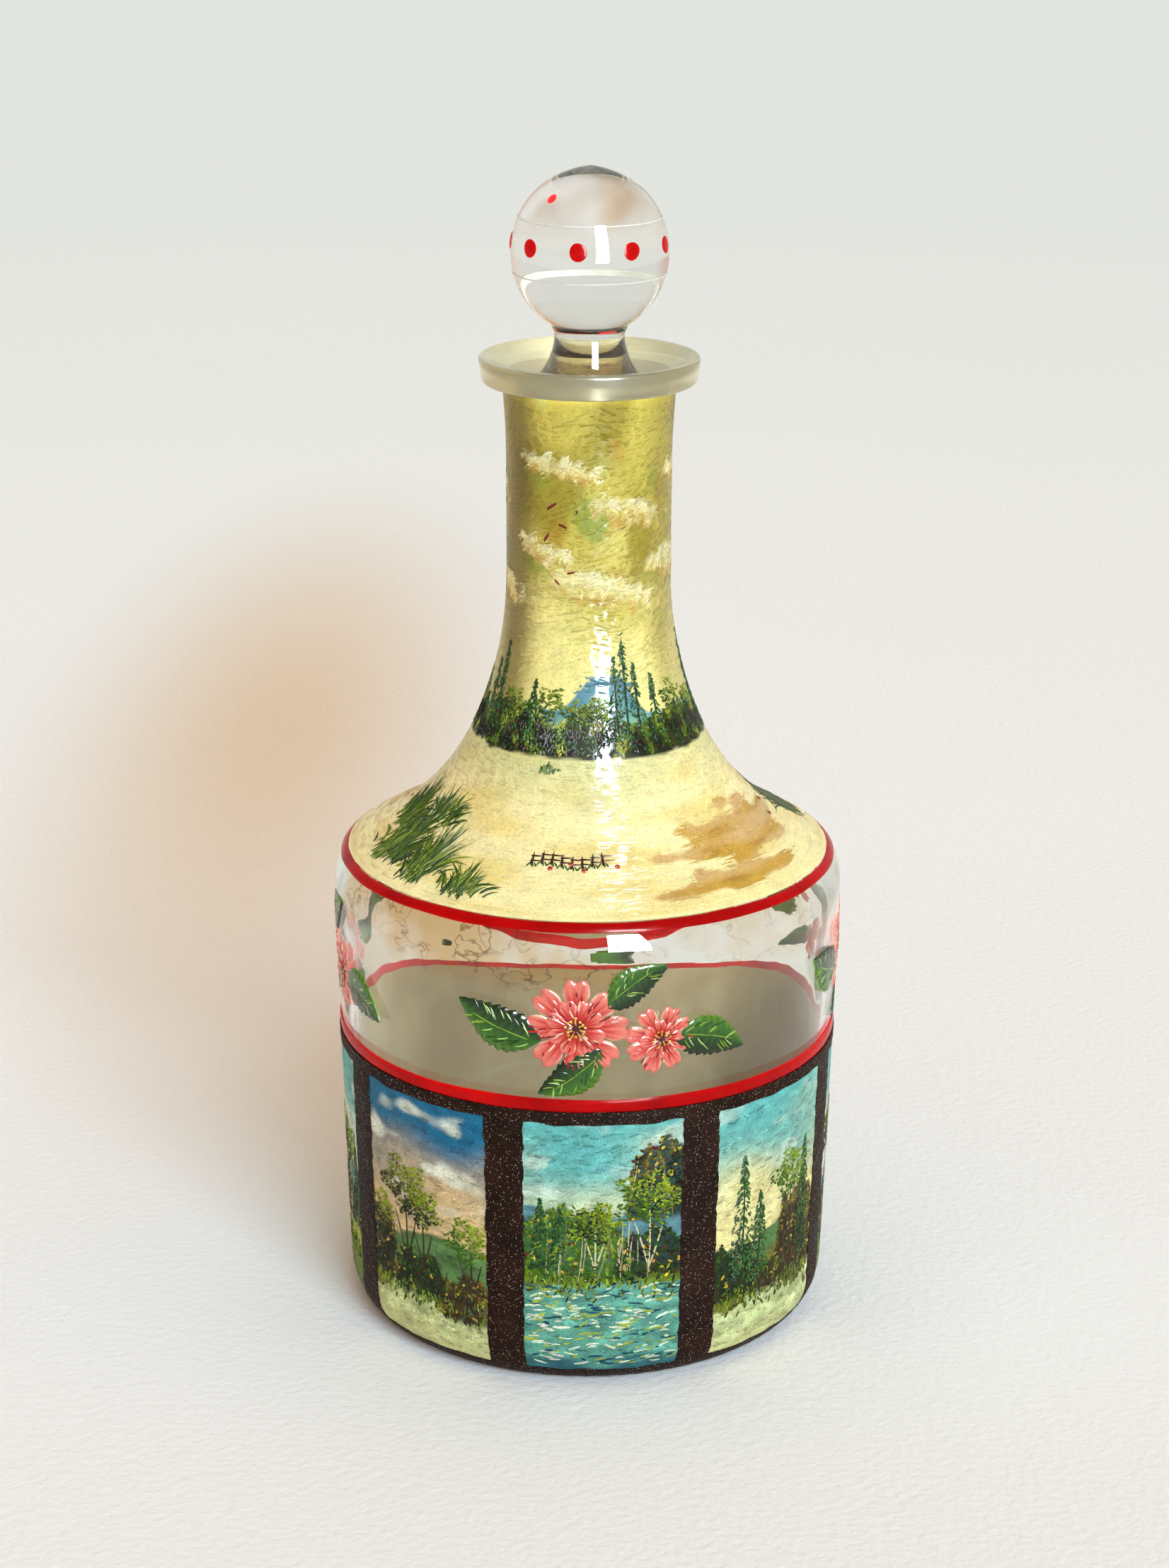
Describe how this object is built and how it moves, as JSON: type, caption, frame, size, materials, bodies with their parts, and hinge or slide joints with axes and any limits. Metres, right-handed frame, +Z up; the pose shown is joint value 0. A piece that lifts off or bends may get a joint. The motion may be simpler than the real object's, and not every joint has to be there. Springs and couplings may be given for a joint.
{
  "type": "decanter bottle with ball stopper",
  "caption": "Round painted glass decanter with a flared neck, a dished lip and a ground ball stopper that lifts out; it stores and pours drinks or oils.",
  "frame": {"origin": "centre of the foot's resting plane", "axes": "+Z up along the bottle's axis; -Y is the front, towards the viewer"},
  "size_m": [0.1246, 0.1246, 0.2822],
  "materials": {
    "bottle_glass": "clear blown glass, satin on the lip",
    "stopper_glass": "clear polished glass, ground shank",
    "sky_paint": "brushed oil paint under gloss varnish",
    "red_enamel": "gloss enamel",
    "frame_paint": "grainy dark brown paint, satin",
    "picture_paint": "stippled oil paint under satin varnish",
    "flower_paint": "thick glossy oil paint",
    "dot_enamel": "gloss enamel",
    "white_enamel": "fine satin enamel line"
  },
  "bodies": {
    "bottle": {"bottle_glass": "bottle_glass", "neck_and_shoulder_coat": "sky_paint", "shoulder_stripe": "red_enamel", "belly_stripe": "red_enamel", "picture_frame_coat": "frame_paint", "picture_1": "picture_paint", "picture_2": "picture_paint", "picture_3": "picture_paint", "picture_4": "picture_paint", "picture_5": "picture_paint", "picture_6": "picture_paint", "picture_7": "picture_paint", "picture_8": "picture_paint", "flower_spray_1": "flower_paint", "flower_spray_2": "flower_paint", "flower_spray_3": "flower_paint", "flower_spray_4": "flower_paint"},
    "stopper": {"stopper_glass": "stopper_glass", "stopper_dot_1": "dot_enamel", "stopper_dot_2": "dot_enamel", "stopper_dot_3": "dot_enamel", "stopper_dot_4": "dot_enamel", "stopper_dot_5": "dot_enamel", "stopper_dot_6": "dot_enamel", "stopper_dot_7": "dot_enamel", "stopper_dot_8": "dot_enamel", "stopper_dot_9": "dot_enamel", "stopper_line_upper": "white_enamel", "stopper_line_lower": "white_enamel"}
  },
  "joints": [
    {"name": "stopper_lift", "type": "slide", "parent": "bottle", "child": "stopper", "axis": [0, 0, 1], "range_m": [0, 0.06]}
  ]
}
